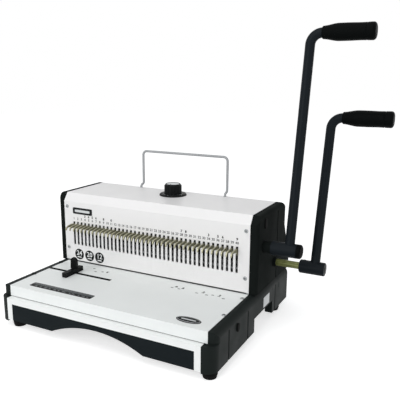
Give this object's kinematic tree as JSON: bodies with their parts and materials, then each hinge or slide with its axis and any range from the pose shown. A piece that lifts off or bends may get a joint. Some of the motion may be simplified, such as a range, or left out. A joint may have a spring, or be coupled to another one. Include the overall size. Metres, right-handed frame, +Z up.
{
  "type": "punch and binding machine",
  "caption": "Desk machine with a paper table, a slotted head, a lever that punches holes and a lever that lowers hooks to open plastic ring combs.",
  "frame": {"origin": "on the desk, under the middle of the head panel's front face", "axes": "+X along the row of slots, towards the levers; +Y from the table's front edge to the rear; +Z up"},
  "size_m": [0.5712, 0.32, 0.4943],
  "materials": {
    "white_paint": "satin powder coat",
    "table_paint": "satin powder coat",
    "cover_plastic": "fine grain, half matt",
    "drawer_plastic": "fine grain, half matt",
    "fitting_plastic": "matt",
    "frame_steel": "zinc plated sheet",
    "tool_steel": "ground",
    "bright_steel": "turned",
    "spring_steel": "oiled",
    "black_steel": "blackened",
    "bronze": "plain",
    "yellow_zinc": "yellow zinc plate",
    "lever_paint": "gloss black",
    "grip_plastic": "smooth",
    "foot_rubber": "matt",
    "wire_chrome": "bright"
  },
  "bodies": {
    "body": {"head_panel": "white_paint", "rear_cover": "white_paint", "front_surround": "white_paint", "table_plate": "table_paint", "head_cover_left": "cover_plastic", "head_cover_right": "cover_plastic", "base_cover_left": "cover_plastic", "base_cover_right": "cover_plastic", "dial_plate": "fitting_plastic", "guide_track": "fitting_plastic", "side_frame_left": "frame_steel", "side_frame_right": "frame_steel", "front_tie": "frame_steel", "rear_tie": "frame_steel", "top_beam": "frame_steel", "drawer_runners": "frame_steel", "die_bed": "tool_steel", "die_plate": "tool_steel", "throat_spacers": "tool_steel", "paper_stop": "tool_steel", "pin_guide": "tool_steel", "rake_rods": "bright_steel", "nut_rod": "bright_steel", "panel_screws": "bright_steel", "table_screws": "bright_steel", "stand_sockets": "bright_steel", "press_springs": "spring_steel", "cover_screws": "black_steel", "press_gibs": "bronze", "punch_bushes": "bronze", "opener_bushes": "bronze", "spindle_bush": "bronze", "front_feet": "foot_rubber", "rear_feet": "foot_rubber"},
    "punch_lever": {"punch_shaft": "bright_steel", "punch_cams": "tool_steel", "punch_hub": "lever_paint", "punch_hub_cap": "grip_plastic", "punch_lever": "lever_paint", "punch_grip": "grip_plastic"},
    "press": {"press_bar": "tool_steel", "punch_pins": "tool_steel"},
    "opener_lever": {"opener_shaft": "yellow_zinc", "opener_gears": "tool_steel", "opener_hub": "lever_paint", "opener_lever": "lever_paint", "opener_grip": "grip_plastic"},
    "rake": {"rake_bar": "black_steel", "rake_arms": "frame_steel", "hooks": "yellow_zinc"},
    "size_knob": {"size_knob": "fitting_plastic", "knob_spindle": "bright_steel"},
    "height_nut": {"height_nut": "bronze"},
    "edge_guide": {"edge_guide": "fitting_plastic", "guide_clamp": "fitting_plastic", "guide_slider": "fitting_plastic"},
    "drawer": {"waste_tray": "drawer_plastic", "drawer_front": "drawer_plastic"},
    "stand": {"wire_stand": "wire_chrome"}
  },
  "joints": [
    {"name": "punch_lever", "type": "hinge", "parent": "body", "child": "punch_lever", "pos_m": [0, 0.0275, 0.147], "axis": [1, 0, 0], "range_deg": [0, 90]},
    {"name": "press_stroke", "type": "slide", "parent": "body", "child": "press", "axis": [0, 0, -1], "range_m": [0, 0.0091], "stiffness_N_per_m": 600, "springref_m": -0.015, "deforming": ["press_springs"]},
    {"name": "opener_lever", "type": "hinge", "parent": "body", "child": "opener_lever", "pos_m": [0, 0.0804, 0.1055], "axis": [1, 0, 0], "range_deg": [0, 90]},
    {"name": "rake_drop", "type": "slide", "parent": "body", "child": "rake", "axis": [0, 0, -1], "range_m": [0, 0.026]},
    {"name": "size_knob", "type": "hinge", "parent": "body", "child": "size_knob", "pos_m": [0, 0.083, 0.205], "axis": [0, 0, 1], "range_deg": [0, 330]},
    {"name": "nut_lift", "type": "slide", "parent": "body", "child": "height_nut", "axis": [0, 0, 1], "range_m": [0, 0.0037]},
    {"name": "guide_slide", "type": "slide", "parent": "body", "child": "edge_guide", "axis": [1, 0, 0], "range_m": [-0.044, 0.07]},
    {"name": "drawer_pull", "type": "slide", "parent": "body", "child": "drawer", "axis": [0, -1, 0], "range_m": [0, 0.12]},
    {"name": "stand_lift", "type": "slide", "parent": "body", "child": "stand", "axis": [0, 0, 1], "range_m": [0, 0.02]}
  ],
  "couplings": [
    {"joint": "press_stroke", "follows": "punch_lever", "m_per_rad": 0.0057296},
    {"joint": "rake_drop", "follows": "opener_lever", "m_per_rad": 0.0165},
    {"joint": "nut_lift", "follows": "size_knob", "m_per_rad": 0.00063662}
  ]
}
